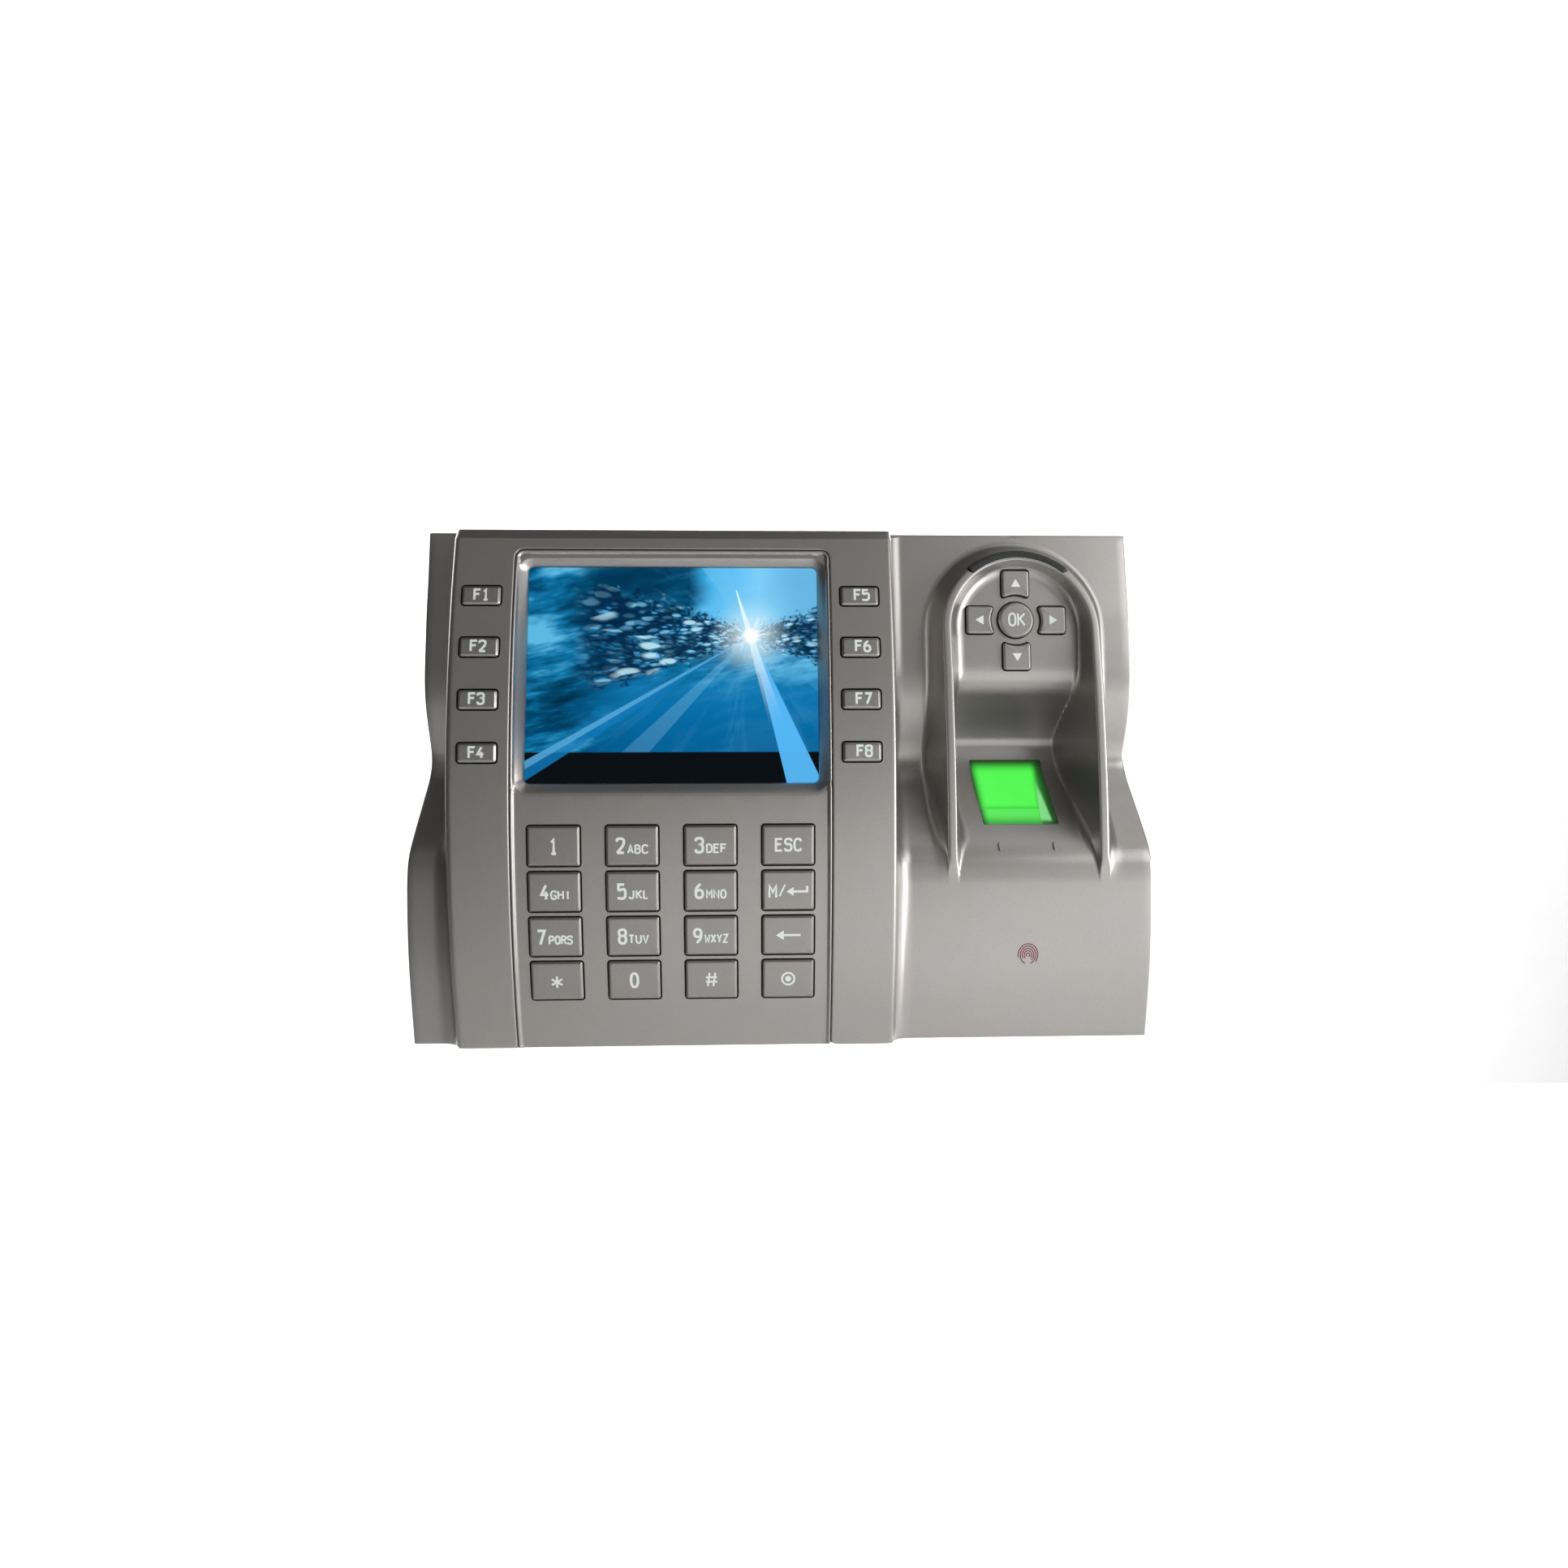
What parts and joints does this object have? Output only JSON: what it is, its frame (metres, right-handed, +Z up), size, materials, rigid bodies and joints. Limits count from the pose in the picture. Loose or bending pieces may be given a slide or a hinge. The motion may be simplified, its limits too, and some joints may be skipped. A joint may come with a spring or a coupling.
{
  "type": "fingerprint scanner terminal",
  "caption": "Wall-mounted fingerprint terminal with a tilted display, pressing keys, a navigation pad and a hooded, sloping sensor window.",
  "frame": {"origin": "centre of the wall plate's four mounting holes, on the wall plane", "axes": "+X to the viewer's right, +Z up, the front faces -Y, the wall is at Y = 0"},
  "size_m": [0.203, 0.0484, 0.1422],
  "materials": {
    "silver_housing": "fine silver-grey metallic paint on moulded plastic, satin",
    "silver_fascia": "fine silver-grey metallic paint on moulded plastic, satin",
    "keypad_key": "silver-grey satin paint with pale printed legends",
    "function_key": "silver-grey satin paint with pale printed legends",
    "nav_key": "silver-grey satin paint with pale printed symbols",
    "clear_lens": "clear polished window",
    "lcd_image": "lit blue display",
    "smoked_lens": "smoked translucent light guide",
    "sensor_glass": "polished prism lit green from below",
    "black_plastic": "black moulded plastic",
    "green_plastic": "green moulded terminal block",
    "circuit_board": "green circuit board",
    "silicone": "grey silicone rubber",
    "bare_steel": "plated sheet steel",
    "plate_steel": "zinc plated sheet steel",
    "screw_steel": "zinc plated steel",
    "rear_plastic": "dark grey textured plastic"
  },
  "bodies": {
    "terminal": {"front_cover": "silver_housing", "display_fascia": "silver_fascia", "display_lens": "clear_lens", "lcd_panel": "lcd_image", "lcd_tray": "bare_steel", "status_light_pipe": "smoked_lens", "status_led_board": "circuit_board", "sensor_prism": "sensor_glass", "sensor_holder": "black_plastic", "sensor_camera": "black_plastic", "sensor_led_board": "circuit_board", "nav_pcb": "circuit_board", "nav_mat": "silicone", "keypad_pcb": "circuit_board", "keypad_mat": "silicone", "side_keys_pcb_left": "circuit_board", "side_keys_pcb_right": "circuit_board", "main_pcb": "circuit_board", "processor_shield": "bare_steel", "ethernet_jack": "bare_steel", "usb_port": "bare_steel", "power_jack": "black_plastic", "terminal_block": "green_plastic", "speaker": "black_plastic", "rtc_battery": "bare_steel", "rear_cover": "rear_plastic", "wall_plate": "plate_steel", "case_screws": "screw_steel", "board_screws": "screw_steel", "lock_screw": "screw_steel"},
    "key_1_body": {"key_1": "keypad_key"},
    "key_2_body": {"key_2": "keypad_key"},
    "key_3_body": {"key_3": "keypad_key"},
    "key_4_body": {"key_4": "keypad_key"},
    "key_5_body": {"key_5": "keypad_key"},
    "key_6_body": {"key_6": "keypad_key"},
    "key_7_body": {"key_7": "keypad_key"},
    "key_8_body": {"key_8": "keypad_key"},
    "key_9_body": {"key_9": "keypad_key"},
    "key_0_body": {"key_0": "keypad_key"},
    "key_star_body": {"key_star": "keypad_key"},
    "key_hash_body": {"key_hash": "keypad_key"},
    "key_esc_body": {"key_esc": "keypad_key"},
    "key_menu_body": {"key_menu": "keypad_key"},
    "key_back_body": {"key_back": "keypad_key"},
    "key_power_body": {"key_power": "keypad_key"},
    "key_f1_body": {"key_f1": "function_key"},
    "key_f2_body": {"key_f2": "function_key"},
    "key_f3_body": {"key_f3": "function_key"},
    "key_f4_body": {"key_f4": "function_key"},
    "key_f5_body": {"key_f5": "function_key"},
    "key_f6_body": {"key_f6": "function_key"},
    "key_f7_body": {"key_f7": "function_key"},
    "key_f8_body": {"key_f8": "function_key"},
    "nav_up_body": {"nav_up": "nav_key"},
    "nav_down_body": {"nav_down": "nav_key"},
    "nav_left_body": {"nav_left": "nav_key"},
    "nav_right_body": {"nav_right": "nav_key"},
    "nav_ok_body": {"nav_ok": "nav_key"}
  },
  "joints": [
    {"name": "key_1_press", "type": "slide", "parent": "terminal", "child": "key_1_body", "axis": [0, 1, 0], "range_m": [0, 0.001], "stiffness_N_per_m": 800, "springref_m": -0.0006},
    {"name": "key_2_press", "type": "slide", "parent": "terminal", "child": "key_2_body", "axis": [0, 1, 0], "range_m": [0, 0.001], "stiffness_N_per_m": 800, "springref_m": -0.0006},
    {"name": "key_3_press", "type": "slide", "parent": "terminal", "child": "key_3_body", "axis": [0, 1, 0], "range_m": [0, 0.001], "stiffness_N_per_m": 800, "springref_m": -0.0006},
    {"name": "key_4_press", "type": "slide", "parent": "terminal", "child": "key_4_body", "axis": [0, 1, 0], "range_m": [0, 0.001], "stiffness_N_per_m": 800, "springref_m": -0.0006},
    {"name": "key_5_press", "type": "slide", "parent": "terminal", "child": "key_5_body", "axis": [0, 1, 0], "range_m": [0, 0.001], "stiffness_N_per_m": 800, "springref_m": -0.0006},
    {"name": "key_6_press", "type": "slide", "parent": "terminal", "child": "key_6_body", "axis": [0, 1, 0], "range_m": [0, 0.001], "stiffness_N_per_m": 800, "springref_m": -0.0006},
    {"name": "key_7_press", "type": "slide", "parent": "terminal", "child": "key_7_body", "axis": [0, 1, 0], "range_m": [0, 0.001], "stiffness_N_per_m": 800, "springref_m": -0.0006},
    {"name": "key_8_press", "type": "slide", "parent": "terminal", "child": "key_8_body", "axis": [0, 1, 0], "range_m": [0, 0.001], "stiffness_N_per_m": 800, "springref_m": -0.0006},
    {"name": "key_9_press", "type": "slide", "parent": "terminal", "child": "key_9_body", "axis": [0, 1, 0], "range_m": [0, 0.001], "stiffness_N_per_m": 800, "springref_m": -0.0006},
    {"name": "key_0_press", "type": "slide", "parent": "terminal", "child": "key_0_body", "axis": [0, 1, 0], "range_m": [0, 0.001], "stiffness_N_per_m": 800, "springref_m": -0.0006},
    {"name": "key_star_press", "type": "slide", "parent": "terminal", "child": "key_star_body", "axis": [0, 1, 0], "range_m": [0, 0.001], "stiffness_N_per_m": 800, "springref_m": -0.0006},
    {"name": "key_hash_press", "type": "slide", "parent": "terminal", "child": "key_hash_body", "axis": [0, 1, 0], "range_m": [0, 0.001], "stiffness_N_per_m": 800, "springref_m": -0.0006},
    {"name": "key_esc_press", "type": "slide", "parent": "terminal", "child": "key_esc_body", "axis": [0, 1, 0], "range_m": [0, 0.001], "stiffness_N_per_m": 800, "springref_m": -0.0006},
    {"name": "key_menu_press", "type": "slide", "parent": "terminal", "child": "key_menu_body", "axis": [0, 1, 0], "range_m": [0, 0.001], "stiffness_N_per_m": 800, "springref_m": -0.0006},
    {"name": "key_back_press", "type": "slide", "parent": "terminal", "child": "key_back_body", "axis": [0, 1, 0], "range_m": [0, 0.001], "stiffness_N_per_m": 800, "springref_m": -0.0006},
    {"name": "key_power_press", "type": "slide", "parent": "terminal", "child": "key_power_body", "axis": [0, 1, 0], "range_m": [0, 0.001], "stiffness_N_per_m": 800, "springref_m": -0.0006},
    {"name": "key_f1_press", "type": "slide", "parent": "terminal", "child": "key_f1_body", "axis": [0, 1, 0], "range_m": [0, 0.001], "stiffness_N_per_m": 800, "springref_m": -0.0006},
    {"name": "key_f2_press", "type": "slide", "parent": "terminal", "child": "key_f2_body", "axis": [0, 1, 0], "range_m": [0, 0.001], "stiffness_N_per_m": 800, "springref_m": -0.0006},
    {"name": "key_f3_press", "type": "slide", "parent": "terminal", "child": "key_f3_body", "axis": [0, 1, 0], "range_m": [0, 0.001], "stiffness_N_per_m": 800, "springref_m": -0.0006},
    {"name": "key_f4_press", "type": "slide", "parent": "terminal", "child": "key_f4_body", "axis": [0, 1, 0], "range_m": [0, 0.001], "stiffness_N_per_m": 800, "springref_m": -0.0006},
    {"name": "key_f5_press", "type": "slide", "parent": "terminal", "child": "key_f5_body", "axis": [0, 1, 0], "range_m": [0, 0.001], "stiffness_N_per_m": 800, "springref_m": -0.0006},
    {"name": "key_f6_press", "type": "slide", "parent": "terminal", "child": "key_f6_body", "axis": [0, 1, 0], "range_m": [0, 0.001], "stiffness_N_per_m": 800, "springref_m": -0.0006},
    {"name": "key_f7_press", "type": "slide", "parent": "terminal", "child": "key_f7_body", "axis": [0, 1, 0], "range_m": [0, 0.001], "stiffness_N_per_m": 800, "springref_m": -0.0006},
    {"name": "key_f8_press", "type": "slide", "parent": "terminal", "child": "key_f8_body", "axis": [0, 1, 0], "range_m": [0, 0.001], "stiffness_N_per_m": 800, "springref_m": -0.0006},
    {"name": "nav_up_press", "type": "slide", "parent": "terminal", "child": "nav_up_body", "axis": [0, 1, 0], "range_m": [0, 0.001], "stiffness_N_per_m": 800, "springref_m": -0.0006},
    {"name": "nav_down_press", "type": "slide", "parent": "terminal", "child": "nav_down_body", "axis": [0, 1, 0], "range_m": [0, 0.001], "stiffness_N_per_m": 800, "springref_m": -0.0006},
    {"name": "nav_left_press", "type": "slide", "parent": "terminal", "child": "nav_left_body", "axis": [0, 1, 0], "range_m": [0, 0.001], "stiffness_N_per_m": 800, "springref_m": -0.0006},
    {"name": "nav_right_press", "type": "slide", "parent": "terminal", "child": "nav_right_body", "axis": [0, 1, 0], "range_m": [0, 0.001], "stiffness_N_per_m": 800, "springref_m": -0.0006},
    {"name": "nav_ok_press", "type": "slide", "parent": "terminal", "child": "nav_ok_body", "axis": [0, 1, 0], "range_m": [0, 0.001], "stiffness_N_per_m": 800, "springref_m": -0.0006}
  ]
}
